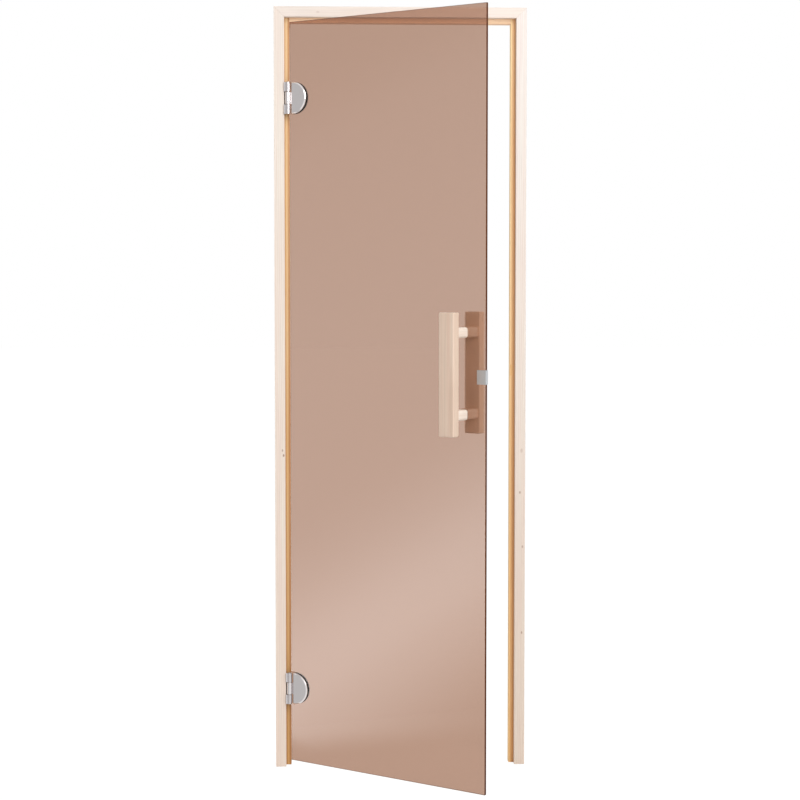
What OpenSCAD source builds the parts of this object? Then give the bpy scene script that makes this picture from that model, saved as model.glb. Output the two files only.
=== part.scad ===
// Sauna door: a framed leaf of tempered glass on two half-round glass hinges.
// Millimetres. The origin is the middle of the hinge jamb's outer side face.
// +X runs to the latch side, +Y into the sauna, +Z up.

/* [Frame] */
// Width over both jambs
frame_width = 690; // [590:10:890]
// Height from the floor to the header's top
frame_height = 2090; // [1790:10:2190]
// Depth of the frame boards, front to back
frame_depth = 45; // [42:1:95]
// Width of a frame board as seen from the front
board_width = 28; // [24:1:45]
// Width of the stop laths, past the boards
stop_width = 14; // [10:1:20]
// Distance of the stop laths behind the frame's front
stop_setback = 21; // [20:1:30]
// Radius of the fixing holes through the jambs
fixing_hole_radius = 3; // [2.5:0.5:4]

/* [Glass] */
// Width of the pane
glass_width = 617; // [517:1:817]
// Height of the pane
glass_height = 2030; // [1730:1:2130]
// Thickness of the pane
glass_thickness = 8; // [6:1:10]
// Gap between the floor and the pane's lower edge
floor_gap = 18; // [10:1:40]
// Angle the leaf stands open at rest
open_angle = 35; // [0:1:110]

/* [Hinges] */
// Height of the upper hinge's middle above the floor
upper_hinge_height = 1842; // [1600:1:1900]
// Height of the lower hinge's middle above the floor
lower_hinge_height = 220; // [150:1:400]
// Height of a hinge
hinge_height = 86; // [70:1:100]
// Radius of the knuckles
knuckle_radius = 7; // [6:0.5:9]
// Height of the middle knuckle
middle_knuckle = 32; // [20:1:40]
// Radius of the hinge pin
pin_radius = 3; // [2.5:0.5:4]
// Thickness of the clamp plates
clamp_thickness = 5; // [4:0.5:6]
// Bevel round the clamp plates' outer rims
clamp_bevel = 3; // [0.5:0.5:3]
// Thickness of the gaskets between plates and glass
gasket_thickness = 2; // [0.5:0.5:2]

/* [Handle] */
// Distance from the hinge pin to the handle's middle
handle_position = 545.5; // [400:0.5:700]
// Height of the handle's middle above the floor
handle_height = 1107; // [900:1:1200]
// Length of a handle bar
bar_length = 317; // [200:1:500]
// Width of a handle bar, along the pane
bar_width = 45; // [25:1:60]
// Depth of a handle bar, away from the pane
bar_depth = 28; // [18:1:40]
// Radius of the bars' long edges
bar_rounding = 3.5; // [2:0.5:12]
// Width of the posts, along the pane
post_width = 36; // [20:1:42]
// Height of the posts
post_height = 27; // [16:1:40]
// Radius of the posts' rounded edges
post_rounding = 7; // [1:0.5:8]
// Length of a post from the pane to its bar
post_length = 50; // [30:1:70]
// Distance between the upper and the lower posts
post_pitch = 212; // [120:1:400]

/* [Catch] */
// Height of the catch's middle above the floor
catch_height = 1099; // [900:1:1300]
// Length of the clip along the pane's edge
clip_length = 37; // [20:1:60]
// Reach of the clip over the pane
clip_reach = 25; // [12:1:40]

/* [Hidden] */
$fn = 96;
front_y = -frame_depth / 2;
floor_z = -frame_height / 2;
pin_x = 38;
pin_y = -2;
glass_v = 8;
glass_back_v = glass_v + glass_thickness;
stop_depth = frame_depth - stop_setback;
fixing_hole_y = 10.5;
countersink_radius = 6;
hinge_fixings = [120, 660, 1200, 1740];
latch_fixings = [385, 881, 1377, 1873];
knuckle_gap = 1.5;
outer_knuckle = (hinge_height - middle_knuckle) / 2 - knuckle_gap;
leaf_plate = 2.5;
leaf_plate_start = -5;
leaf_plate_end = 19;
leaf_notch_end = 9;
leaf_web = 6;
leaf_screw_places = [[13, -36], [8, -24], [8, 24], [13, 36]];
leaf_screw_radius = 2;
leaf_screw_length = 22;
screw_play = 0.1;
running_play = 0.05;
clamp_start = 9;
clamp_centre = 14;
clamp_web = 2;
clamp_radius = hinge_height / 2;
clamp_screw_u = 33;
clamp_screw_rows = [-20, 20];
clamp_screw_radius = 3;
clamp_screw_head = 5;
clamp_bore_radius = 8;
bushing_radius = 7.8;
bolt_radius = 4;
bolt_bite = 14;
handle_bore_radius = 7;
clip_sheet = 1.5;
magnet = [7, 6, 30];
magnet_x = frame_width - board_width - stop_width + 1.5;

// Places a child measured from the frame's front plane, floor and hinge side.
module in_frame() {
    translate([0, front_y, floor_z]) children();
}

// Places a child measured from the hinge pin: x along the pane, y inward.
module on_leaf() {
    in_frame() translate([pin_x, pin_y, 0]) rotate([0, 0, -open_angle]) children();
}

// Extrudes an outline drawn in X and Z from y = 0 to y = depth.
module along_y(depth) {
    translate([0, depth, 0]) rotate([90, 0, 0]) linear_extrude(height = depth) children();
}

// A round bar along Y from y = 0 to y = length.
module rod_y(radius, length) {
    translate([0, length, 0]) rotate([90, 0, 0]) cylinder(r = radius, h = length);
}

// Fixing holes through a jamb, countersunk from the opening's side at x = inner.
module fixing_holes(rows, inner, outward) {
    for (row = rows)
        translate([inner, fixing_hole_y, row]) rotate([0, outward * 90, 0]) {
            translate([0, 0, -1]) cylinder(r = fixing_hole_radius, h = board_width + 2);
            cylinder(r1 = countersink_radius, r2 = fixing_hole_radius, h = 3);
        }
}

module hinge_screw_holes(middle) {
    for (p = leaf_screw_places)
        translate([board_width, p[0], middle + p[1]]) rotate([0, -90, 0])
            cylinder(r = leaf_screw_radius + screw_play, h = leaf_screw_length);
}

module hinge_jamb() {
    color([0.91, 0.82, 0.72]) in_frame() difference() {
        along_y(frame_depth)
            polygon([[0, 0], [board_width, 0], [board_width, frame_height - board_width],
                     [0, frame_height]]);
        fixing_holes(hinge_fixings, board_width, -1);
        hinge_screw_holes(upper_hinge_height);
        hinge_screw_holes(lower_hinge_height);
    }
}

module latch_jamb() {
    color([0.91, 0.82, 0.72]) in_frame() difference() {
        translate([frame_width, 0, 0]) along_y(frame_depth)
            polygon([[0, 0], [-board_width, 0], [-board_width, frame_height - board_width],
                     [0, frame_height]]);
        fixing_holes(latch_fixings, frame_width - board_width, 1);
    }
}

module header_rail() {
    color([0.92, 0.83, 0.74]) in_frame() along_y(frame_depth)
        polygon([[0, frame_height], [board_width, frame_height - board_width],
                 [frame_width - board_width, frame_height - board_width],
                 [frame_width, frame_height]]);
}

module hinge_jamb_stop() {
    color([0.85, 0.66, 0.45]) in_frame() translate([board_width, stop_setback, 0])
        cube([stop_width, stop_depth, frame_height - board_width]);
}

module latch_jamb_stop() {
    color([0.85, 0.66, 0.45]) in_frame() difference() {
        translate([frame_width - board_width - stop_width, stop_setback, 0])
            cube([stop_width, stop_depth, frame_height - board_width]);
        magnet_block();
    }
}

module header_stop() {
    color([0.85, 0.66, 0.45]) in_frame()
        translate([board_width + stop_width, stop_setback,
                   frame_height - board_width - stop_width])
            cube([frame_width - 2 * (board_width + stop_width), stop_depth, stop_width]);
}

module magnet_block() {
    translate([magnet_x, stop_setback, catch_height - magnet[2] / 2]) cube(magnet);
}

module catch_magnet() {
    color([0.8, 0.6, 0.4]) in_frame() magnet_block();
}

// The part of a hinge screwed to the jamb: two knuckles, and a plate notched
// beside the middle knuckle.
module frame_leaf(middle) {
    color([0.74, 0.74, 0.75]) in_frame() translate([0, 0, middle - hinge_height / 2])
        difference() {
            union() {
                translate([board_width, leaf_plate_start, 0])
                    cube([leaf_plate, leaf_plate_end - leaf_plate_start, hinge_height]);
                for (z = [0, hinge_height - outer_knuckle]) {
                    translate([pin_x, pin_y, z]) cylinder(r = knuckle_radius, h = outer_knuckle);
                    translate([board_width, pin_y - leaf_web / 2, z])
                        cube([pin_x - board_width, leaf_web, outer_knuckle]);
                }
            }
            translate([pin_x, pin_y, -1])
                cylinder(r = pin_radius + running_play, h = hinge_height + 2);
            translate([0, 0, outer_knuckle])
                linear_extrude(height = hinge_height - 2 * outer_knuckle)
                    polygon([[board_width, leaf_plate_start],
                             [board_width + leaf_plate, leaf_plate_start],
                             [board_width + leaf_plate, leaf_notch_end + leaf_plate],
                             [board_width, leaf_notch_end]]);
            for (p = leaf_screw_places)
                translate([board_width + leaf_plate, p[0], hinge_height / 2 + p[1]])
                    rotate([0, -90, 0]) {
                        translate([0, 0, -1])
                            cylinder(r = leaf_screw_radius + screw_play, h = leaf_plate + 2);
                        cylinder(r1 = 2 * leaf_screw_radius + screw_play,
                                 r2 = leaf_screw_radius + screw_play, h = leaf_screw_radius);
                    }
        }
}

module upper_hinge_frame_leaf() { frame_leaf(upper_hinge_height); }
module lower_hinge_frame_leaf() { frame_leaf(lower_hinge_height); }

// A pin with a flat head on top.
module hinge_pin(middle) {
    color([0.6, 0.6, 0.62]) in_frame()
        translate([pin_x, pin_y, middle - hinge_height / 2]) {
            cylinder(r = pin_radius, h = hinge_height);
            translate([0, 0, hinge_height]) cylinder(r = 4.5, h = 0.8);
        }
}

module upper_hinge_pin() { hinge_pin(upper_hinge_height); }
module lower_hinge_pin() { hinge_pin(lower_hinge_height); }

module frame_screws(middle) {
    color([0.66, 0.66, 0.68]) in_frame()
        for (p = leaf_screw_places)
            translate([board_width + leaf_plate, p[0], middle + p[1]])
                rotate([0, -90, 0]) {
                    cylinder(r = leaf_screw_radius, h = leaf_screw_length);
                    cylinder(r1 = 2 * leaf_screw_radius, r2 = leaf_screw_radius,
                             h = leaf_screw_radius);
                }
}

module upper_hinge_frame_screws() { frame_screws(upper_hinge_height); }
module lower_hinge_frame_screws() { frame_screws(lower_hinge_height); }

// The pane, bored for the hinge screws and for the handle bolts.
module glass_pane() {
    color([0.6, 0.45, 0.35, 0.5]) on_leaf() difference() {
        translate([0, glass_v, floor_gap]) cube([glass_width, glass_thickness, glass_height]);
        for (middle = [upper_hinge_height, lower_hinge_height], row = clamp_screw_rows)
            translate([clamp_screw_u, glass_v - 1, middle + row])
                rod_y(clamp_bore_radius, glass_thickness + 2);
        for (side = [-0.5, 0.5])
            translate([handle_position, glass_v - 1, handle_height + side * post_pitch])
                rod_y(handle_bore_radius, glass_thickness + 2);
    }
}

// Outline of a clamp plate: straight towards the knuckles, half round beyond.
module clamp_outline() {
    translate([clamp_start, -clamp_radius])
        square([clamp_centre - clamp_start, 2 * clamp_radius]);
    intersection() {
        translate([clamp_centre, 0]) circle(r = clamp_radius);
        translate([clamp_centre, -clamp_radius]) square([clamp_radius, 2 * clamp_radius]);
    }
}

// A clamp plate bevelled all round, its back on z = 0.
module clamp_plate() {
    rim = clamp_thickness - clamp_bevel;
    linear_extrude(height = rim) clamp_outline();
    translate([clamp_start, 0, rim]) difference() {
        rotate([90, 0, 90])
            linear_extrude(height = clamp_centre - clamp_start)
                polygon([[-clamp_radius, 0], [clamp_radius, 0],
                         [clamp_radius - clamp_bevel, clamp_bevel],
                         [clamp_bevel - clamp_radius, clamp_bevel]]);
        translate([0, clamp_radius + 1, 0]) rotate([90, 0, 0])
            linear_extrude(height = 2 * clamp_radius + 2)
                polygon([[-1, -1], [clamp_bevel + 1, clamp_bevel + 1], [-1, clamp_bevel + 1]]);
    }
    translate([clamp_centre, 0, rim]) intersection() {
        cylinder(r1 = clamp_radius, r2 = clamp_radius - clamp_bevel, h = clamp_bevel);
        translate([0, -clamp_radius, 0]) cube([clamp_radius, 2 * clamp_radius, clamp_bevel]);
    }
}

// The outside plate carries the middle knuckle and takes the clamp screws' threads.
module outer_plate(middle) {
    back = glass_v - gasket_thickness;
    color([0.77, 0.76, 0.76]) on_leaf() translate([0, 0, middle]) difference() {
        union() {
            translate([0, back, 0]) rotate([90, 0, 0]) clamp_plate();
            translate([0, 0, -middle_knuckle / 2])
                cylinder(r = knuckle_radius, h = middle_knuckle);
            translate([0, back - clamp_web, -middle_knuckle / 2])
                cube([clamp_start + 1, clamp_web, middle_knuckle]);
        }
        translate([0, 0, -hinge_height / 2])
            cylinder(r = pin_radius + running_play, h = hinge_height);
        for (row = clamp_screw_rows)
            translate([clamp_screw_u, back - clamp_thickness + 1, row])
                rod_y(clamp_screw_radius + screw_play, clamp_thickness);
    }
}

module upper_hinge_outer_plate() { outer_plate(upper_hinge_height); }
module lower_hinge_outer_plate() { outer_plate(lower_hinge_height); }

// The inside plate, bored and sunk for the clamp screws' heads.
module inner_plate(middle) {
    front = glass_back_v + gasket_thickness;
    color([0.77, 0.76, 0.76]) on_leaf() translate([0, front, middle]) difference() {
        rotate([-90, 0, 0]) clamp_plate();
        for (row = clamp_screw_rows) translate([clamp_screw_u, 0, row]) {
            translate([0, -1, 0]) rod_y(clamp_screw_radius + screw_play, clamp_thickness + 2);
            translate([0, clamp_thickness - 2, 0]) rotate([-90, 0, 0])
                cylinder(r1 = clamp_screw_radius + screw_play,
                         r2 = clamp_screw_head + screw_play, h = 2);
        }
    }
}

module upper_hinge_inner_plate() { inner_plate(upper_hinge_height); }
module lower_hinge_inner_plate() { inner_plate(lower_hinge_height); }

// A gasket sheet, cut like the plate and with holes for the clamp screws.
module gasket(middle, back) {
    color([0.14, 0.17, 0.17]) on_leaf() translate([0, back, middle]) rotate([90, 0, 0])
        linear_extrude(height = gasket_thickness) difference() {
            clamp_outline();
            for (row = clamp_screw_rows) translate([clamp_screw_u, row])
                circle(r = clamp_screw_radius + screw_play);
        }
}

module upper_hinge_outer_gasket() { gasket(upper_hinge_height, glass_v); }
module lower_hinge_outer_gasket() { gasket(lower_hinge_height, glass_v); }
module upper_hinge_inner_gasket() {
    gasket(upper_hinge_height, glass_back_v + gasket_thickness);
}
module lower_hinge_inner_gasket() {
    gasket(lower_hinge_height, glass_back_v + gasket_thickness);
}

// Two countersunk screws from the inside plate into the outside one.
module clamp_screws(middle) {
    head_v = glass_back_v + gasket_thickness + clamp_thickness;
    tip_v = glass_v - gasket_thickness - clamp_thickness + 1;
    color([0.66, 0.66, 0.68]) on_leaf()
        for (row = clamp_screw_rows) translate([clamp_screw_u, 0, middle + row]) {
            translate([0, tip_v, 0]) rod_y(clamp_screw_radius, head_v - tip_v);
            translate([0, head_v - 2, 0]) rotate([-90, 0, 0])
                cylinder(r1 = clamp_screw_radius, r2 = clamp_screw_head, h = 2);
        }
}

module upper_hinge_clamp_screws() { clamp_screws(upper_hinge_height); }
module lower_hinge_clamp_screws() { clamp_screws(lower_hinge_height); }

// Section of a handle bar or post, round its middle, with rounded corners.
module rounded_section(width, depth, r) {
    square([width - 2 * r, depth], center = true);
    square([width, depth - 2 * r], center = true);
    for (x = [-0.5, 0.5], y = [-0.5, 0.5])
        translate([x * (width - 2 * r), y * (depth - 2 * r)]) circle(r = r);
}

// A handle bar whose face to the pane is at post_v, bored for both bolts.
module handle_bar(near_v, side) {
    color([0.88, 0.76, 0.64]) on_leaf()
        translate([handle_position, near_v, handle_height]) difference() {
            translate([0, side * bar_depth / 2, -bar_length / 2])
                linear_extrude(height = bar_length)
                    rounded_section(bar_width, bar_depth, bar_rounding);
            for (z = [-0.5, 0.5])
                translate([0, side < 0 ? -bolt_bite : -1, z * post_pitch])
                    rod_y(bolt_radius + screw_play, bolt_bite + 1);
        }
}

module outer_handle_bar() { handle_bar(glass_v - post_length, -1); }
module inner_handle_bar() { handle_bar(glass_back_v + post_length, 1); }

module handle_post(near_v, side) {
    color([0.9, 0.8, 0.68]) on_leaf()
        translate([handle_position, near_v, handle_height + side * post_pitch / 2])
            difference() {
                rotate([-90, 0, 0]) linear_extrude(height = post_length)
                    rounded_section(post_width, post_height, post_rounding);
                translate([0, -1, 0]) rod_y(bolt_radius + screw_play, post_length + 2);
            }
}

module outer_upper_post() { handle_post(glass_v - post_length, 1); }
module outer_lower_post() { handle_post(glass_v - post_length, -1); }
module inner_upper_post() { handle_post(glass_back_v, 1); }
module inner_lower_post() { handle_post(glass_back_v, -1); }

// A threaded rod through the posts and the pane, into both bars.
module handle_bolt(side) {
    reach = post_length + bolt_bite - 1;
    color([0.66, 0.66, 0.68]) on_leaf()
        translate([handle_position, glass_v - reach, handle_height + side * post_pitch / 2])
            rod_y(bolt_radius, glass_thickness + 2 * reach);
}

module upper_handle_bolt() { handle_bolt(1); }
module lower_handle_bolt() { handle_bolt(-1); }

// A folded sheet clip over the pane's free edge.
module catch_clip() {
    color([0.66, 0.66, 0.66]) on_leaf()
        translate([glass_width - clip_reach, glass_v - clip_sheet,
                   catch_height - clip_length / 2])
            difference() {
                cube([clip_reach + clip_sheet, glass_thickness + 2 * clip_sheet, clip_length]);
                translate([-1, clip_sheet, -1])
                    cube([clip_reach + 1, glass_thickness, clip_length + 2]);
            }
}

hinge_jamb();
latch_jamb();
header_rail();
hinge_jamb_stop();
latch_jamb_stop();
header_stop();
upper_hinge_frame_leaf();
lower_hinge_frame_leaf();
upper_hinge_pin();
lower_hinge_pin();
upper_hinge_frame_screws();
lower_hinge_frame_screws();
glass_pane();
upper_hinge_outer_plate();
lower_hinge_outer_plate();
upper_hinge_inner_plate();
lower_hinge_inner_plate();
upper_hinge_outer_gasket();
lower_hinge_outer_gasket();
upper_hinge_inner_gasket();
lower_hinge_inner_gasket();
upper_hinge_clamp_screws();
lower_hinge_clamp_screws();
outer_handle_bar();
inner_handle_bar();
outer_upper_post();
outer_lower_post();
inner_upper_post();
inner_lower_post();
upper_handle_bolt();
lower_handle_bolt();
catch_clip();
catch_magnet();
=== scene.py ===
# %% [markdown]
# # A sauna door: pale wooden frame, bronze glass leaf
#
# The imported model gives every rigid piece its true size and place, so this
# lesson starts from it. Each cell then dresses one kind of piece: easing the
# sawn edges, drawing the grain, tinting the glass, and lighting it all softly
# against white.

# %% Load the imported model
import math

import bmesh
import bpy
import numpy as np
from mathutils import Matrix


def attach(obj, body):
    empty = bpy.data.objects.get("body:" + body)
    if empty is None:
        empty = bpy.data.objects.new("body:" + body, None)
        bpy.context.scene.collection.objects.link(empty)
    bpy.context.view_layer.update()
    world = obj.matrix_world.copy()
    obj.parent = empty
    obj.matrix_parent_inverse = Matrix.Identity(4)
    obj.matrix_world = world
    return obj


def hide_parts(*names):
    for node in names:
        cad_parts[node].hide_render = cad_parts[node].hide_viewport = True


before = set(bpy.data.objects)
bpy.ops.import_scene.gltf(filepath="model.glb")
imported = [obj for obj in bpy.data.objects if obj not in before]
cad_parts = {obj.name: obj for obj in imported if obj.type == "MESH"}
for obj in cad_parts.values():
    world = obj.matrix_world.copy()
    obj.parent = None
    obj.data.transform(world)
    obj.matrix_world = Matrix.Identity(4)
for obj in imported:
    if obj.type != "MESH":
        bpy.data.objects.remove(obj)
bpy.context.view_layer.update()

# %% [markdown]
# ## Where things are
#
# The row's origin is the middle of the hinge jamb's outer side. It is easier to
# think from the floor, the frame's front and the hinge pin, so two small
# functions turn such measures, in millimetres, into the row's metres. The leaf
# stands open, so its own measures turn about the pin.

# %% Measures in millimetres, turned into the row's metres
FRAME_W, FRAME_H, FRAME_D = 690.0, 2090.0, 45.0
BOARD, STOP_W, STOP_SETBACK = 28.0, 14.0, 21.0
OPEN_ANGLE = math.radians(35.0)
PIN = np.array([38.0, -2.0])
GLASS_V, GLASS_T = 8.0, 8.0
HINGE_Z = {"upper": 1842.0, "lower": 220.0}
HANDLE_U, HANDLE_Z = 545.5, 1107.0
POST_LENGTH, BAR_W, BAR_D, BAR_LENGTH = 50.0, 45.0, 28.0, 317.0
GASKET_T, CLAMP_T, CLAMP_U, GASKET_SHADE_LIP = 2.0, 5.0, 9.0, 2.0


def in_frame(points):
    """Millimetres from the hinge side, the frame's front and the floor, to row metres."""
    p = np.asarray(points, float)
    return (p - [0.0, FRAME_D / 2, FRAME_H / 2]) / 1000.0


def on_leaf(points):
    """Millimetres along the pane, inward and up from the pin, to row metres.

    x = pin x + u cos a + v sin a;  y = pin y - u sin a + v cos a.
    """
    u, v, z = np.moveaxis(np.asarray(points, float), -1, 0)
    c, s = math.cos(OPEN_ANGLE), math.sin(OPEN_ANGLE)
    return in_frame(np.stack([PIN[0] + u * c + v * s, PIN[1] - u * s + v * c, z], -1))


print("free edge of the pane:", on_leaf([617.0, 12.0, 1045.0]).round(3))

# %% [markdown]
# ## The camera
#
# The photograph looks at the frame almost squarely from about five metres, a
# little above the handle. The numbers come from fitting straight edges of the
# frame and the leaf: a long lens, a small turn to the right and a small tilt
# down.

# %% Camera
camera_data = bpy.data.cameras.new("photo_camera")
camera_data.lens = 77.6
camera_data.sensor_width = 36.0
camera_data.shift_x = 0.0042
camera_data.shift_y = -0.0408
camera_data.clip_end = 60.0
camera = bpy.data.objects.new("photo_camera", camera_data)
camera.location = in_frame([150.6, -4730.0, 1344.8])
camera.rotation_euler = (math.radians(90.0 - 2.863), 0.0, math.radians(-2.224))
bpy.context.scene.collection.objects.link(camera)
bpy.context.scene.camera = camera
print("camera at", [round(x, 3) for x in camera.location])

# %% [markdown]
# ## Helpers for materials
#
# Colours are written as they look on screen, in hex, and one function turns
# them into the linear light values that Blender computes with. Another adds a
# shader node, sets its options and wires its inputs in one go.

# %% Colour and node helpers


def linear(hex_colour):
    """sRGB hex to linear RGBA: below 0.04045 divide by 12.92, above it the 2.4 power."""
    c = np.array([int(hex_colour[i : i + 2], 16) for i in (1, 3, 5)]) / 255.0
    c = np.where(c <= 0.04045, c / 12.92, ((c + 0.055) / 1.055) ** 2.4)
    return (*c.tolist(), 1.0)


def node(tree, kind, inputs=(), **settings):
    """Adds a node; inputs maps a socket's name or number to a value or to another node's output."""
    n = tree.nodes.new(kind)
    for key, value in settings.items():
        setattr(n, key, value)
    for key, value in dict(inputs).items():
        if isinstance(value, bpy.types.NodeSocket):
            tree.links.new(value, n.inputs[key])
        else:
            n.inputs[key].default_value = value
    return n


def new_material(name):
    m = bpy.data.materials.new(name)
    m.use_nodes = True
    m.node_tree.nodes.clear()
    return m, m.node_tree


def output(tree, shader):
    node(tree, "ShaderNodeOutputMaterial", {"Surface": shader})


# %% [markdown]
# ## Planed softwood
#
# A board is a slice out of a tree, so the pattern is built as a tree: rings
# round a pith line that runs along the board, wavy, each with pale early wood
# and a narrow darker line of late wood. Because the rings are solid, the end
# grain comes out right too. Fine fibres run along the board, and a few small
# knots sit where the branches were. The rings are 4 mm apart, as on
# slow-grown spruce, and the fibres are drawn coarser than the real 0.03 mm so
# that they show at all.

# %% Solid wood


def softwood(
    name, light, dark, along, pith, knots=(), ring_mm=4.0, warm=None, contrast=0.5, rough=0.58, painted_height_shade=None, painted_light_across=()
):
    """Rings round a line along an axis. along is 'X', 'Z' or 'post'; pith is where that line crosses, in metres.

    painted_height_shade = (at the floor, at the header) multiplies the colour: painted shade, darker towards the foot
    and paler towards the top, where more light falls.
    painted_light_across = (x in mm, multiplier) pairs, in rising x, multiply it across a lath's width: painted
    highlights where light falls on the face and arris, painted shade beside the board and in the gap by the glass.
    """
    m, t = new_material(name)
    place = node(t, "ShaderNodeTexCoord").outputs["Object"]
    # Turn the board's length to the texture's Z, and put the pith at its middle.
    if along == "X":
        turned = node(t, "ShaderNodeMapping", {0: place, 2: (0.0, math.pi / 2, 0.0)}).outputs[0]
    elif along == "post":
        turned = node(t, "ShaderNodeMapping", {0: place, 2: (0.0, 0.0, OPEN_ANGLE)}).outputs[0]
        turned = node(t, "ShaderNodeMapping", {0: turned, 2: (math.pi / 2, 0.0, 0.0)}).outputs[0]
    else:
        turned = place
    grain = node(t, "ShaderNodeVectorMath", {0: turned, 1: (*pith, 0.0)}, operation="SUBTRACT").outputs[0]
    # Slow waves along the length bend the rings by a few millimetres.
    slow = node(t, "ShaderNodeMapping", {0: grain, 3: (9.0, 9.0, 0.9)}).outputs[0]
    waves = node(t, "ShaderNodeTexNoise", {"Vector": slow, "Scale": 1.0, "Detail": 2.0, "Roughness": 0.5})
    bend = node(
        t, "ShaderNodeVectorMath", {0: waves.outputs["Color"], 1: (0.5, 0.5, 0.5)}, operation="SUBTRACT"
    ).outputs[0]
    bend = node(t, "ShaderNodeVectorMath", {0: bend, 3: 0.02}, operation="SCALE").outputs[0]
    bent = node(t, "ShaderNodeVectorMath", {0: grain, 1: bend}, operation="ADD").outputs[0]
    flat = node(t, "ShaderNodeVectorMath", {0: bent, 1: (1.0, 1.0, 0.0)}, operation="MULTIPLY").outputs[0]
    radius = node(t, "ShaderNodeVectorMath", {0: flat}, operation="LENGTH").outputs["Value"]
    rings = node(t, "ShaderNodeMath", {0: radius, 1: 1000.0 / ring_mm}, operation="MULTIPLY").outputs[0]
    phase = node(t, "ShaderNodeMath", {0: rings}, operation="FRACT").outputs[0]
    ramp = node(t, "ShaderNodeValToRGB", {0: phase})
    stops = ramp.color_ramp.elements
    stops[0].position, stops[0].color = 0.0, (0.1, 0.1, 0.1, 1.0)
    stops[1].position, stops[1].color = 1.0, (0.1, 0.1, 0.1, 1.0)
    for at, value in ((0.55, 0.25), (0.86, 1.0)):
        e = stops.new(at)
        e.color = (value, value, value, 1.0)
    # Fibres: noise stretched a hundred times along the board.
    thin = node(t, "ShaderNodeMapping", {0: grain, 3: (900.0, 900.0, 9.0)}).outputs[0]
    fibre = node(t, "ShaderNodeTexNoise", {"Vector": thin, "Scale": 1.0, "Detail": 2.0}).outputs["Fac"]
    # Each board has paler and warmer stretches.
    broad = node(t, "ShaderNodeMapping", {0: grain, 3: (60.0, 60.0, 2.5)}).outputs[0]
    patch = node(t, "ShaderNodeTexNoise", {"Vector": broad, "Scale": 1.0, "Detail": 3.0}).outputs["Fac"]
    patch = node(t, "ShaderNodeMapRange", {0: patch, 1: 0.35, 2: 0.65}).outputs[0]
    share = node(t, "ShaderNodeMath", {0: ramp.outputs[0], 1: contrast}, operation="MULTIPLY").outputs[0]
    base = node(t, "ShaderNodeMix", {0: patch, 6: linear(light), 7: linear(warm or light)}, data_type="RGBA")
    colour = node(
        t, "ShaderNodeMix", {0: share, 6: base.outputs[2], 7: linear(dark)}, data_type="RGBA"
    ).outputs[2]
    shade = node(t, "ShaderNodeMapRange", {0: fibre, 1: 0.3, 2: 0.7, 3: 0.93, 4: 1.03}).outputs[0]
    colour = node(
        t, "ShaderNodeVectorMath", {0: colour, 3: shade}, operation="SCALE"
    ).outputs[0]
    # Painted shade by height: the colour darkens towards the floor and pales towards the top, where more light falls.
    if painted_height_shade:
        up = node(t, "ShaderNodeSeparateXYZ", {0: place}).outputs["Z"]
        up = node(t, "ShaderNodeMapRange", {0: up, 1: -FRAME_H / 2000.0, 2: FRAME_H / 2000.0}).outputs[0]
        painted_shade_by_height = node(t, "ShaderNodeMix", {0: up, 4: painted_height_shade[0], 5: painted_height_shade[1]}, data_type="VECTOR").outputs[1]
        colour = node(t, "ShaderNodeVectorMath", {0: colour, 1: painted_shade_by_height}, operation="MULTIPLY").outputs[0]
    # Painted light across a lath: painted highlights where light falls on its face and arris, painted shade beside the
    # board and in the gap by the glass.
    if painted_light_across:
        first, last = painted_light_across[0][0], painted_light_across[-1][0]
        side = node(t, "ShaderNodeSeparateXYZ", {0: place}).outputs["X"]
        side = node(t, "ShaderNodeMapRange", {0: side, 1: first / 1000.0, 2: last / 1000.0}).outputs[0]
        curve = node(t, "ShaderNodeValToRGB", {0: side})
        stops = curve.color_ramp.elements
        for i, (x, value) in enumerate(painted_light_across):
            e = stops[0] if i == 0 else stops[-1] if i == len(painted_light_across) - 1 else stops.new((x - first) / (last - first))
            # The painted light across the lath changes blue most and red least, so its shade stays warm.
            e.color = (value**0.55 / 2.0, value / 2.0, value**1.3 / 2.0, 1.0)
        painted_light_factor = node(t, "ShaderNodeVectorMath", {0: curve.outputs[0], 3: 2.0}, operation="SCALE").outputs[0]
        colour = node(t, "ShaderNodeVectorMath", {0: colour, 1: painted_light_factor}, operation="MULTIPLY").outputs[0]
        colour = node(t, "ShaderNodeVectorMath", {0: colour, 1: (0.98, 0.98, 0.98)}, operation="MINIMUM").outputs[0]
    for x, z, size, deep in knots:
        middle = (x, -FRAME_D / 2000.0, z - FRAME_H / 2000.0)
        away = node(t, "ShaderNodeVectorMath", {0: place, 1: middle}, operation="SUBTRACT").outputs[0]
        squash = (0.6, 1.0, 1.0) if along == "X" else (1.0, 1.0, 0.6)
        away = node(t, "ShaderNodeVectorMath", {0: away, 1: squash}, operation="MULTIPLY").outputs[0]
        far = node(t, "ShaderNodeVectorMath", {0: away}, operation="LENGTH").outputs["Value"]
        core = node(
            t, "ShaderNodeMapRange", {0: far, 1: size, 2: size * 0.35, 3: 0.0, 4: deep}, interpolation_type="SMOOTHSTEP"
        ).outputs[0]
        colour = node(t, "ShaderNodeMix", {0: core, 6: colour, 7: linear("#8E6346")}, data_type="RGBA").outputs[2]
    gloss = node(t, "ShaderNodeMapRange", {0: fibre, 3: rough - 0.06, 4: rough + 0.08}).outputs[0]
    height = node(t, "ShaderNodeMath", {0: fibre, 1: ramp.outputs[0]}, operation="ADD").outputs[0]
    relief = node(t, "ShaderNodeBump", {"Height": height, "Strength": 0.25, "Distance": 0.0002}).outputs[0]
    shader = node(
        t,
        "ShaderNodeBsdfPrincipled",
        {"Base Color": colour, "Roughness": gloss, "IOR": 1.5, "Normal": relief},
    ).outputs[0]
    output(t, shader)
    return m


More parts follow.
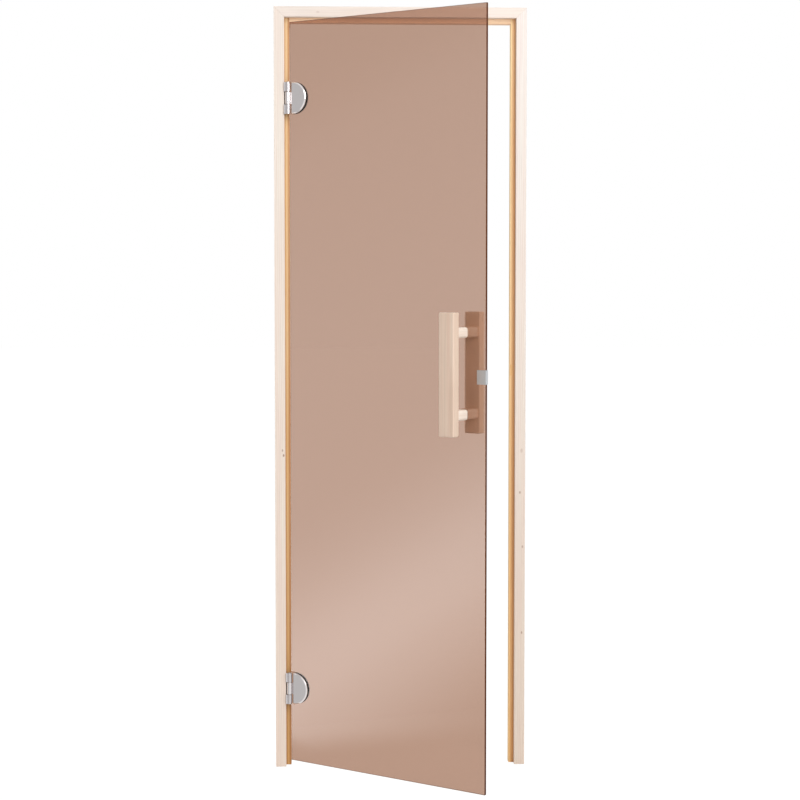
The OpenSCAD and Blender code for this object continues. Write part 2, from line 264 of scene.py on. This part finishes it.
# Knots on the boards' front faces: across the frame, height above the floor, radius, all in metres, and depth of colour.
HINGE_JAMB_KNOTS = [(0.0205, 0.880, 0.0032, 0.5), (0.0235, 0.866, 0.0032, 0.8)]
LATCH_JAMB_KNOTS = [(0.6815, 0.370, 0.0032, 0.6), (0.6755, 0.761, 0.0032, 0.6), (0.683, 0.610, 0.0032, 0.5), (0.6795, 0.877, 0.005, 0.25)]
# The jambs and side laths below carry painted shade by height: darker at the foot, paler at the top.
hinge_jamb_wood = softwood(
    "hinge_jamb_planed_spruce", "#F3E5D8", "#DEC6AE", "Z", (-0.05, 0.03), HINGE_JAMB_KNOTS, warm="#F1DCCF",
    painted_height_shade=((1.0, 1.0, 0.99), (0.98, 1.04, 1.08)),
)
latch_jamb_wood = softwood(
    "latch_jamb_planed_spruce", "#F4E6DA", "#E0C9B3", "Z", (0.74, 0.045), LATCH_JAMB_KNOTS, warm="#F2DED2",
    painted_height_shade=((0.89, 0.87, 0.83), (0.96, 1.05, 1.13)),
)
header_wood = softwood(
    "header_planed_spruce", "#F0E6DD", "#DCC9B8", "X", (-1.10, 0.05), [(0.12, 2.075, 0.004, 0.2)], warm="#EEDFD6"
)
# The laths take the boards' pale wood in a warmer honey colour: the wood's own tint plus painted warm light bounced
# about the rebate. The header lath is painted paler still, for the stronger light at the top.
hinge_stop_wood = softwood(
    "hinge_lath_pine_painted_light", "#FCCC8F", "#E9AB66", "Z", (0.35, 0.25), warm="#F9C381", contrast=0.45,
    painted_height_shade=((0.57, 0.51, 0.42), (0.79, 0.88, 1.11)),
    painted_light_across=((28.0, 0.85), (31.0, 0.9), (32.5, 1.3), (35.0, 1.2), (37.0, 1.0), (39.5, 0.6), (42.0, 0.65)),
)
latch_stop_wood = softwood(
    "latch_lath_pine_painted_light", "#FCCC8F", "#E9AB66", "Z", (0.27, 0.31), warm="#F9C381", contrast=0.45,
    painted_height_shade=((0.84, 0.79, 0.74), (0.98, 1.06, 1.3)),
    painted_light_across=((648.0, 1.35), (650.0, 1.3), (652.0, 1.08), (655.0, 0.97), (657.0, 0.8), (660.0, 0.75), (662.0, 0.8)),
)
stop_wood_level = softwood("header_lath_pine_painted_light", "#FFE0BE", "#F6C79C", "X", (-0.9, 0.2), warm="#FFD9B4", contrast=0.45)
handle_wood = softwood(
    "handle_sanded_aspen", "#E4CDB9", "#CFB29B", "Z", (0.43, -0.44), warm="#DFC1AC", ring_mm=5.0, rough=0.5
)
# The bar inside is the same aspen painted paler: painted light that makes up for what the bronze glass takes away.
inner_handle_wood_painted_light = softwood(
    "inner_handle_aspen_painted_light", "#F7EBDF", "#E6D5C4", "Z", (0.60, -0.36), warm="#F4E4D6", ring_mm=5.0, rough=0.5
)
post_wood = softwood("post_sanded_birch", "#F5E8DB", "#E4CFBB", "post", (0.70, -0.02), warm="#F2DFD0", ring_mm=5.0, rough=0.5)
print("wood finishes:", 9)

# %% [markdown]
# ## Easing the sawn edges
#
# A planed board never has a knife edge: the arris is taken off with a pass of
# sandpaper, about a millimetre. A CAD mesh is loose triangles, so its copy is
# welded, its flat faces are joined back into whole ones, and a Bevel rounds
# the edges. The same steps serve metal with a smaller radius and glass with a
# single flat arris.

# %% A dressed copy of a CAD piece
DOWN_TO_FLAT = math.radians(1.0)


def dressed(name, nodes, body, material, ease_mm, segments=2, edge_material=None, smooth_angle=35.0, soft=None):
    """Joins CAD nodes into one mesh, welds it, rebuilds its flat faces and bevels its sharp edges.

    soft = (radius in mm, a point, a direction) rounds the one arris through that point more than the rest.
    """
    bm = bmesh.new()
    for n in nodes:
        bm.from_mesh(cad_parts[n].data)
    bmesh.ops.remove_doubles(bm, verts=bm.verts, dist=1e-6)
    bmesh.ops.dissolve_limit(bm, angle_limit=DOWN_TO_FLAT, verts=bm.verts, edges=bm.edges)
    widest = max(ease_mm, soft[0]) if soft else ease_mm
    weight = bm.edges.layers.float.new("bevel_weight_edge")
    for e in bm.edges:
        sharp = len(e.link_faces) == 2 and e.calc_face_angle() > math.radians(40.0)
        e[weight] = ease_mm / widest if sharp else 0.0
        if sharp and soft:
            off = [np.cross(np.array(v.co) - soft[1], soft[2]) for v in e.verts]
            if max(np.linalg.norm(o) for o in off) < 1e-4:
                e[weight] = 1.0
    mesh = bpy.data.meshes.new(name)
    bm.to_mesh(mesh)
    bm.free()
    mesh.materials.clear()
    mesh.materials.append(material)
    if edge_material:
        mesh.materials.append(edge_material)
    mesh.polygons.foreach_set("use_smooth", [True] * len(mesh.polygons))
    mesh.set_sharp_from_angle(angle=math.radians(smooth_angle))
    obj = bpy.data.objects.new(name, mesh)
    bpy.context.scene.collection.objects.link(obj)
    bevel = obj.modifiers.new("eased_edges", "BEVEL")
    bevel.width = widest / 1000.0
    bevel.segments = segments
    bevel.limit_method = "WEIGHT"
    bevel.harden_normals = segments > 1
    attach(obj, body)
    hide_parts(*nodes)
    return obj


for piece, n, wood in (
    ("hinge_jamb_board", "hinge_jamb", hinge_jamb_wood),
    ("latch_jamb_board", "latch_jamb", latch_jamb_wood),
    ("header_board", "header_rail", header_wood),
):
    dressed(piece, [n], "frame", wood, 0.8)
# The laths have one soft arris, in front on the opening's side.
LATH = BOARD + STOP_W
UP, ACROSS = (0.0, 0.0, 1.0), (1.0, 0.0, 0.0)
for piece, n, wood, arris, way in (
    ("hinge_stop_lath", "hinge_jamb_stop", hinge_stop_wood, (LATH, STOP_SETBACK, 0.0), UP),
    ("latch_stop_lath", "latch_jamb_stop", latch_stop_wood, (FRAME_W - LATH, STOP_SETBACK, 0.0), UP),
    ("header_stop_lath", "header_stop", stop_wood_level, (LATH, STOP_SETBACK, FRAME_H - LATH), ACROSS),
):
    dressed(piece, [n], "frame", wood, 0.6, 4, soft=(3.0, in_frame(arris), way))
print("boards and laths eased")

# %% [markdown]
# ## Bronze glass
#
# Tempered glass tinted in the mass: clear, very smooth, and brown because
# iron and selenium in it swallow blue and green. The tint on the shader is
# what is left of white light after 8 mm. Lamps have to shine through it too,
# or the wood behind would stand in full shadow, so shadow and diffuse rays
# meet a plain see-through tint. The ground edges look darker, because light
# that reaches them has run through far more glass.

# %% Glass and its ground edge


def tinted_glass(name, tint, roughness):
    m, t = new_material(name)
    glass = node(
        t,
        "ShaderNodeBsdfPrincipled",
        {"Base Color": linear(tint), "Roughness": roughness, "IOR": 1.52, "Transmission Weight": 1.0},
    ).outputs[0]
    once = tuple(x**0.08 for x in linear(tint)[:3]) + (1.0,)
    through = node(t, "ShaderNodeBsdfTransparent", {"Color": once}).outputs[0]
    ray = node(t, "ShaderNodeLightPath")
    lamp = node(
        t, "ShaderNodeMath", {0: ray.outputs["Is Shadow Ray"], 1: ray.outputs["Is Diffuse Ray"]}, operation="MAXIMUM"
    ).outputs[0]
    output(t, node(t, "ShaderNodeMixShader", {0: lamp, 1: glass, 2: through}).outputs[0])
    return m


bronze_glass = tinted_glass("bronze_tempered_glass", "#B4917D", 0.0)
ground_edge, tree = new_material("bronze_glass_ground_edge")
output(
    tree,
    node(
        tree,
        "ShaderNodeBsdfPrincipled",
        {"Base Color": linear("#5C3523"), "Roughness": 0.5, "IOR": 1.52, "Specular IOR Level": 0.0},
    ).outputs[0],
)

pane = dressed("bronze_glass_leaf", ["glass_pane"], "leaf", bronze_glass, 0.5, 1, ground_edge, 30.0)
face_out = np.array([-math.sin(OPEN_ANGLE), -math.cos(OPEN_ANGLE), 0.0])
to_hinge = np.array([-math.cos(OPEN_ANGLE), math.sin(OPEN_ANGLE), 0.0])
normals = np.empty(len(pane.data.polygons) * 3)
pane.data.polygons.foreach_get("normal", normals)
normals = normals.reshape(-1, 3)
on_edge = np.abs(normals @ face_out) < 0.9
on_edge &= (normals @ to_hinge < 0.9) & (normals[:, 2] > -0.9)
on_edge = on_edge.astype(np.int32)
pane.data.polygons.foreach_set("material_index", on_edge)
print("pane faces:", len(on_edge), "of them ground edge:", int(on_edge.sum()))

# %% [markdown]
# ## Satin steel hinges
#
# The clamp plates and knuckles are satin nickel over steel: a soft, blurred
# shine with very fine brushing, and the bevelled rim catches the light as a
# thin bright line. Black rubber gaskets keep the metal off the glass; from the
# side they show as a dark crescent along the plates' round ends.

# %% Metals and plastics


def satin_metal(name, colour, rough, line_mm):
    m, t = new_material(name)
    place = node(t, "ShaderNodeTexCoord").outputs["Object"]
    streak = node(t, "ShaderNodeMapping", {0: place, 3: (1000.0 / line_mm, 1000.0 / line_mm, 40.0)}).outputs[0]
    lines = node(t, "ShaderNodeTexNoise", {"Vector": streak, "Scale": 1.0, "Detail": 2.0}).outputs["Fac"]
    gloss = node(t, "ShaderNodeMapRange", {0: lines, 3: rough - 0.03, 4: rough + 0.05}).outputs[0]
    relief = node(t, "ShaderNodeBump", {"Height": lines, "Strength": 0.12, "Distance": 0.00005}).outputs[0]
    shader = node(
        t,
        "ShaderNodeBsdfPrincipled",
        {"Base Color": linear(colour), "Metallic": 1.0, "Roughness": gloss, "Normal": relief},
    ).outputs[0]
    output(t, shader)
    return m


satin_nickel = satin_metal("satin_nickel_on_steel", "#DDD8D8", 0.13, 0.3)
# The frame's leaves take the same nickel a shade greyer.
greyer_nickel = satin_metal("greyer_plated_nickel_steel", "#C9C4C5", 0.14, 0.3)
zinc_plate = satin_metal("zinc_plated_screw_steel", "#C3C3C4", 0.34, 0.4)
clip_steel = satin_metal("bead_blasted_clip_steel", "#C6C9CC", 0.4, 0.5)

def moulded(name, colour, darker, rough, grain_mm):
    """Soft or hard plastic: a fine moulded grain in colour, shine and relief."""
    m, t = new_material(name)
    place = node(t, "ShaderNodeTexCoord").outputs["Object"]
    grit = node(t, "ShaderNodeTexNoise", {"Vector": place, "Scale": 1000.0 / grain_mm, "Detail": 2.0}).outputs["Fac"]
    base = node(t, "ShaderNodeMix", {0: grit, 6: linear(colour), 7: linear(darker)}, data_type="RGBA").outputs[2]
    gloss = node(t, "ShaderNodeMapRange", {0: grit, 3: rough - 0.08, 4: rough + 0.08}).outputs[0]
    relief = node(t, "ShaderNodeBump", {"Height": grit, "Strength": 0.2, "Distance": 0.0001}).outputs[0]
    shader = node(
        t, "ShaderNodeBsdfPrincipled", {"Base Color": base, "Roughness": gloss, "IOR": 1.5, "Normal": relief}
    ).outputs[0]
    output(t, shader)
    return m


gasket_rubber = moulded("black_gasket_rubber", "#252D2E", "#394344", 0.6, 0.6)
magnet_housing = moulded("wood_toned_magnet_housing", "#F4C68C", "#E8B573", 0.5, 0.8)

# %% Hinges, gaskets and catch
for level in ("upper", "lower"):
    dressed(f"{level}_hinge_jamb_leaf", [f"{level}_hinge_frame_leaf"], "frame", greyer_nickel, 0.4)
    dressed(f"{level}_hinge_pivot", [f"{level}_hinge_pin"], "frame", zinc_plate, 0.4)
    for side in ("outer", "inner"):
        dressed(f"{level}_hinge_{side}_clamp", [f"{level}_hinge_{side}_plate"], "leaf", satin_nickel, 0.3)
        node_name = f"{level}_hinge_{side}_gasket"
        sheet = dressed(f"{node_name}_sheet", [node_name], "leaf", gasket_rubber, 0.2, 1)
        if side == "outer":
            # The straight edge moves towards the pin, so a small black rubber lip fills the gap beside the knuckles: a
            # real gasket stretched to stand as painted shade in that gap.
            points = np.empty(len(sheet.data.vertices) * 3)
            sheet.data.vertices.foreach_get("co", points)
            points = points.reshape(-1, 3)
            from_pin = (points - on_leaf((0.0, 0.0, 0.0))) @ -to_hinge
            points[from_pin < (CLAMP_U + 0.5) / 1000.0] += GASKET_SHADE_LIP / 1000.0 * to_hinge
            sheet.data.vertices.foreach_set("co", points.ravel())
            sheet.data.update()
    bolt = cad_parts[f"{level}_handle_bolt"]
    bolt.data.materials.clear()
    bolt.data.materials.append(zinc_plate)
dressed("edge_catch_clip", ["catch_clip"], "leaf", clip_steel, 0.3)
dressed("stop_magnet", ["catch_magnet"], "frame", magnet_housing, 0.3)
print("hinges dressed")

# %% [markdown]
# ## Surfaces from formulas
#
# The pieces that follow are drawn from formulas of two parameters: rows run
# along the piece, columns run round it, and neighbours are joined by quads.

# %% A surface from a grid of points


def surface(name, grids, material, body, smooth_angle=40.0):
    """Quads between neighbours of each (rows, columns, 3) grid, whose columns close on themselves."""
    points, faces, start = [], [], 0
    for grid in grids:
        rows, columns = grid.shape[:2]
        i, j = np.meshgrid(np.arange(rows - 1), np.arange(columns), indexing="ij")
        k = (j + 1) % columns
        quads = np.stack([i * columns + j, i * columns + k, (i + 1) * columns + k, (i + 1) * columns + j], -1)
        faces += (quads.reshape(-1, 4) + start).tolist()
        points += grid.reshape(-1, 3).tolist()
        start += rows * columns
    mesh = bpy.data.meshes.new(name)
    mesh.from_pydata(points, [], faces)
    bm = bmesh.new()
    bm.from_mesh(mesh)
    bmesh.ops.remove_doubles(bm, verts=bm.verts, dist=1e-6)
    bmesh.ops.recalc_face_normals(bm, faces=bm.faces)
    bm.to_mesh(mesh)
    bm.free()
    mesh.polygons.foreach_set("use_smooth", [True] * len(mesh.polygons))
    mesh.set_sharp_from_angle(angle=math.radians(smooth_angle))
    mesh.materials.append(material)
    obj = bpy.data.objects.new(name, mesh)
    bpy.context.scene.collection.objects.link(obj)
    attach(obj, body)
    return obj


# %% [markdown]
# ## Screws
#
# Countersunk screws with a six-sided socket. Each is one surface of
# revolution: its outline runs from the tip up the shank, out to the head's
# rim, in over the flat top and down into the socket, where the circle turns
# into a hexagon.

# %% Screws with sockets


def screw_points(shank_r, head_r, head_h, length, socket_r, columns=36):
    """Rings of radius r(row) at depth z(row) below the head's top.

    In the socket's rows the radius is that of a hexagon, r cos 30 / cos(t mod 60 - 30).
    """
    t = np.linspace(0.0, 2 * math.pi, columns, endpoint=False)
    hexagon = math.cos(math.pi / 6) / np.cos(t % (math.pi / 3) - math.pi / 6)
    rows = (
        (0.0, length, 0), (shank_r - 0.5, length, 0), (shank_r, length - 0.5, 0), (shank_r, head_h, 0),
        (head_r - 0.2, 0.2, 0), (head_r - 0.25, 0.05, 0), (head_r - 0.5, 0.0, 0), (socket_r + 0.15, 0.0, 1),
        (socket_r, 0.15, 1), (socket_r, 1.5, 1), (0.0, 1.9, 1),
    )
    r = np.array([[radius * (h if in_socket else 1.0) for h in hexagon] for radius, _, in_socket in rows])
    depth = np.array([row[1] for row in rows])[:, None] + 0.0 * t
    return r * np.cos(t), r * np.sin(t), depth


for level, middle in HINGE_Z.items():
    p, q, depth = screw_points(3.0, 5.0, 2.0, GLASS_T + 2 * GASKET_T + 2 * CLAMP_T - 1.0, 2.0)
    back = GLASS_V + GLASS_T + GASKET_T + CLAMP_T
    grids = [on_leaf(np.stack([33.0 + p, back - depth, middle + row + q], -1)) for row in (-20.0, 20.0)]
    screws = surface(f"{level}_clamp_screw_pair", grids, zinc_plate, "leaf")
    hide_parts(f"{level}_hinge_clamp_screws")
    p, q, depth = screw_points(2.0, 4.0, 2.0, 22.0, 1.6)
    places = ((13.0, -36.0), (8.0, -24.0), (8.0, 24.0), (13.0, 36.0))
    grids = [in_frame(np.stack([BOARD + 2.5 - depth, y + p, middle + row + q], -1)) for y, row in places]
    screws = surface(f"{level}_jamb_screw_set", grids, zinc_plate, "frame")
    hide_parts(f"{level}_hinge_frame_screws")
print("screws made")

# %% [markdown]
# ## Handle bars
#
# Each bar is a rounded-rectangle stick of aspen that feels soft in the hand,
# so its ends are rounded over as well as its long edges. That is a profile
# carried along a straight path: at every height the same outline, drawn in
# over the last few millimetres by a quarter circle.

# %% Bars and posts


def rounded_outline(width, depth, radius, steps=10):
    """Corner arcs of one radius, joined by straight sides: corner centre + radius times (cos t, sin t)."""
    arc = np.linspace(0.0, math.pi / 2, steps)
    out = []
    for quarter, (sx, sy) in enumerate(((1, 1), (-1, 1), (-1, -1), (1, -1))):
        t = arc + quarter * math.pi / 2
        out.append(
            np.stack(
                [sx * (width / 2 - radius) + radius * np.cos(t), sy * (depth / 2 - radius) + radius * np.sin(t)], -1
            )
        )
    return np.concatenate(out)


def handle_bar_points(middle_v):
    """The outline drawn in by r (1 - sqrt(1 - s^2)) within the rounding of each end, then closed to a point."""
    end_r = 3.0
    s = np.linspace(0.0, 1.0, 9)
    drawn_in = end_r * (1.0 - np.sqrt(1.0 - s**2))
    z_top = BAR_LENGTH / 2 - end_r + end_r * s
    heights = np.concatenate([-z_top[::-1], z_top])
    inset = np.concatenate([drawn_in[::-1], drawn_in])
    outline = rounded_outline(BAR_W, BAR_D, 3.5)
    half = np.array([BAR_W / 2, BAR_D / 2])
    rings = outline[None] * ((half - inset[:, None]) / half)[:, None, :]
    rings = np.concatenate([0.0 * rings[:1], rings, 0.0 * rings[:1]])
    heights = np.concatenate([heights[:1], heights, heights[-1:]])
    grid = np.empty((*rings.shape[:2], 3))
    grid[..., 0] = HANDLE_U + rings[..., 0]
    grid[..., 1] = middle_v + rings[..., 1]
    grid[..., 2] = HANDLE_Z + heights[:, None]
    return on_leaf(grid)


OUTER_BAR_V = GLASS_V - POST_LENGTH - BAR_D / 2
INNER_BAR_V = GLASS_V + GLASS_T + POST_LENGTH + BAR_D / 2
for side, v, wood in (("outer", OUTER_BAR_V, handle_wood), ("inner", INNER_BAR_V, inner_handle_wood_painted_light)):
    bar = surface(f"{side}_grip", [handle_bar_points(v)], wood, "leaf")
    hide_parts(f"{side}_handle_bar")
    for level in ("upper", "lower"):
        dressed(f"{side}_{level}_spacer", [f"{side}_{level}_post"], "leaf", post_wood, 0.5)
print("handle bars made")

# %% [markdown]
# ## Floor and light
#
# A product photograph on white: a large soft light high in front, a weak one
# from the other side, a third behind the door, and an even white surround. The
# lamps themselves show only as highlights, never through the glass. The floor
# and the surround look white to the camera, in reflections and through the
# glass, but light the door only gently. The floor keeps a trace of its shadow.

# %% White surround
world = bpy.data.worlds.new("white_studio")
bpy.context.scene.world = world
world.use_nodes = True
t = world.node_tree
t.nodes.clear()
ray = node(t, "ShaderNodeLightPath")
seen = node(t, "ShaderNodeMath", {0: ray.outputs["Is Camera Ray"], 1: ray.outputs["Is Glossy Ray"]}, operation="MAXIMUM")
seen = node(t, "ShaderNodeMath", {0: seen.outputs[0], 1: ray.outputs["Is Transmission Ray"]}, operation="MAXIMUM")
SURROUND_LIGHT = 0.57
strength = node(t, "ShaderNodeMapRange", {0: seen.outputs[0], 3: SURROUND_LIGHT, 4: 1.0}).outputs[0]
sky = node(t, "ShaderNodeBackground", {"Color": (1.0, 1.0, 1.0, 1.0), "Strength": strength}).outputs[0]
node(t, "ShaderNodeOutputWorld", {"Surface": sky})

floor_white, t = new_material("studio_floor_white")
ray = node(t, "ShaderNodeLightPath")
seen = node(t, "ShaderNodeMath", {0: ray.outputs["Is Camera Ray"], 1: ray.outputs["Is Glossy Ray"]}, operation="MAXIMUM")
seen = node(t, "ShaderNodeMath", {0: seen.outputs[0], 1: ray.outputs["Is Transmission Ray"]}, operation="MAXIMUM").outputs[0]
grey = node(t, "ShaderNodeMapRange", {0: seen, 3: 0.8, 4: 0.14}).outputs[0]
mirrored = node(
    t, "ShaderNodeMath", {0: ray.outputs["Is Singular Ray"], 1: ray.outputs["Is Transmission Ray"]}, operation="SUBTRACT"
)
mirrored = node(
    t, "ShaderNodeMath", {0: mirrored.outputs[0], 1: ray.outputs["Is Glossy Ray"]}, operation="MULTIPLY"
).outputs[0]
glow = node(t, "ShaderNodeMapRange", {0: mirrored, 3: 0.93, 4: 0.45}).outputs[0]
glow = node(t, "ShaderNodeMath", {0: seen, 1: glow}, operation="MULTIPLY").outputs[0]
matt = node(t, "ShaderNodeBsdfDiffuse", {"Color": grey}).outputs[0]
glow = node(t, "ShaderNodeEmission", {"Color": (1.0, 1.0, 1.0, 1.0), "Strength": glow}).outputs[0]
output(t, node(t, "ShaderNodeAddShader", {0: glow, 1: matt}).outputs[0])

floor_mesh = bpy.data.meshes.new("studio_floor")
reach, level = 30.0, -FRAME_H / 2000.0 - 0.0005
floor_mesh.from_pydata(
    [(-reach, -reach, level), (reach, -reach, level), (reach, reach, level), (-reach, reach, level)], [], [(0, 1, 2, 3)]
)
floor_mesh.materials.append(floor_white)
floor = bpy.data.objects.new("studio_floor", floor_mesh)
bpy.context.scene.collection.objects.link(floor)

# %% Soft lights


def soft_light(name, place, target, size, watts):
    data = bpy.data.lights.new(name, "AREA")
    data.shape = "RECTANGLE"
    data.size, data.size_y = size
    data.energy = watts
    light = bpy.data.objects.new(name, data)
    light.location = place
    aim = np.array(target) - np.array(place)
    light.rotation_euler = (
        math.atan2(math.hypot(aim[0], aim[1]), -aim[2]),
        0.0,
        math.atan2(aim[1], aim[0]) - math.pi / 2,
    )
    bpy.context.scene.collection.objects.link(light)
    light.visible_camera = light.visible_transmission = False
    return light


soft_light("key_softbox", (1.75, -3.25, 2.1), (0.35, 0.0, 0.3), (2.0, 3.0), 97.0)
soft_light("fill_softbox", (-2.2, -3.6, 0.8), (0.35, 0.0, 0.0), (2.4, 2.6), 4.0)
rear = soft_light("rear_softbox", (2.4, 1.8, 1.2), (0.5, -0.25, 0.0), (1.8, 2.4), 35.0)
rear.visible_glossy = False

# A low strip of light on the left, which shows only as a soft slanting band mirrored in the pane.
band, t = new_material("mirrored_light_band")
place = node(t, "ShaderNodeTexCoord").outputs["Object"]
height = node(t, "ShaderNodeVectorMath", {0: place, 1: (0.0, 0.534, 1.0)}, operation="DOT_PRODUCT").outputs["Value"]
height = node(t, "ShaderNodeMapRange", {0: height, 1: -1.521, 2: 1.079}).outputs[0]
ramp = node(t, "ShaderNodeValToRGB", {0: height})
ramp.color_ramp.interpolation = "B_SPLINE"
BAND = ((-0.45, 0.3), (-0.1, 3.9), (0.1, 4.1), (0.28, 2.8), (0.5, 1.7), (0.9, 1.9), (1.3, 1.6), (1.6, 1.5), (1.75, 1.0), (2.0, 0.8))
stops = ramp.color_ramp.elements
stops.remove(stops[0])
stops[0].position = 0.0
for i, (above, strength) in enumerate(BAND):
    place_on_ramp = (above + 0.5) / 2.6
    e = stops.new(place_on_ramp) if i else stops[0]
    e.position = place_on_ramp
    e.color = (strength / 5.0, strength / 5.0, strength / 5.0, 1.0)
glow = node(t, "ShaderNodeMath", {0: ramp.outputs[0], 1: 5.0}, operation="MULTIPLY").outputs[0]
glow = node(t, "ShaderNodeEmission", {"Color": (1.0, 1.0, 1.0, 1.0), "Strength": glow}).outputs[0]
dim = node(t, "ShaderNodeEmission", {"Color": (1.0, 1.0, 1.0, 1.0), "Strength": 0.66}).outputs[0]
mirror = node(t, "ShaderNodeLightPath").outputs["Is Singular Ray"]
light = node(t, "ShaderNodeMixShader", {0: mirror, 1: dim, 2: glow}).outputs[0]
# The strip thins out to nothing at both ends and along its foot on the floor.
parts = node(t, "ShaderNodeSeparateXYZ", {0: place}).outputs
left = 1.0
for part, gone, full in (("Y", -1.5, -1.0), ("Y", -0.05, -0.15), ("X", 0.0, -0.35)):
    edge = node(t, "ShaderNodeMapRange", {0: parts[part], 1: gone, 2: full}, interpolation_type="SMOOTHSTEP").outputs[0]
    left = node(t, "ShaderNodeMath", {0: edge, 1: left}, operation="MULTIPLY").outputs[0]
clear = node(t, "ShaderNodeBsdfTransparent").outputs[0]
output(t, node(t, "ShaderNodeMixShader", {0: left, 1: clear, 2: light}).outputs[0])
card_mesh = bpy.data.meshes.new("band_card")
foot_level = level + 0.0002
card_mesh.from_pydata(
    [(-0.35, -1.5, foot_level), (-0.35, 0.0, foot_level), (-0.35, 0.0, 1.2), (-0.35, -1.5, 1.2)]
    + [(0.0, -1.5, foot_level), (0.0, 0.0, foot_level)],
    [],
    [(0, 1, 2, 3), (4, 5, 1, 0)],
)
card_mesh.materials.append(band)
card = bpy.data.objects.new("band_card", card_mesh)
bpy.context.scene.collection.objects.link(card)
card.visible_camera = card.visible_diffuse = card.visible_transmission = card.visible_shadow = False

# %% [markdown]
# ## Colour
#
# The Standard view shows each colour as it was written.

# %% Finish
bpy.context.scene.view_settings.view_transform = "Standard"
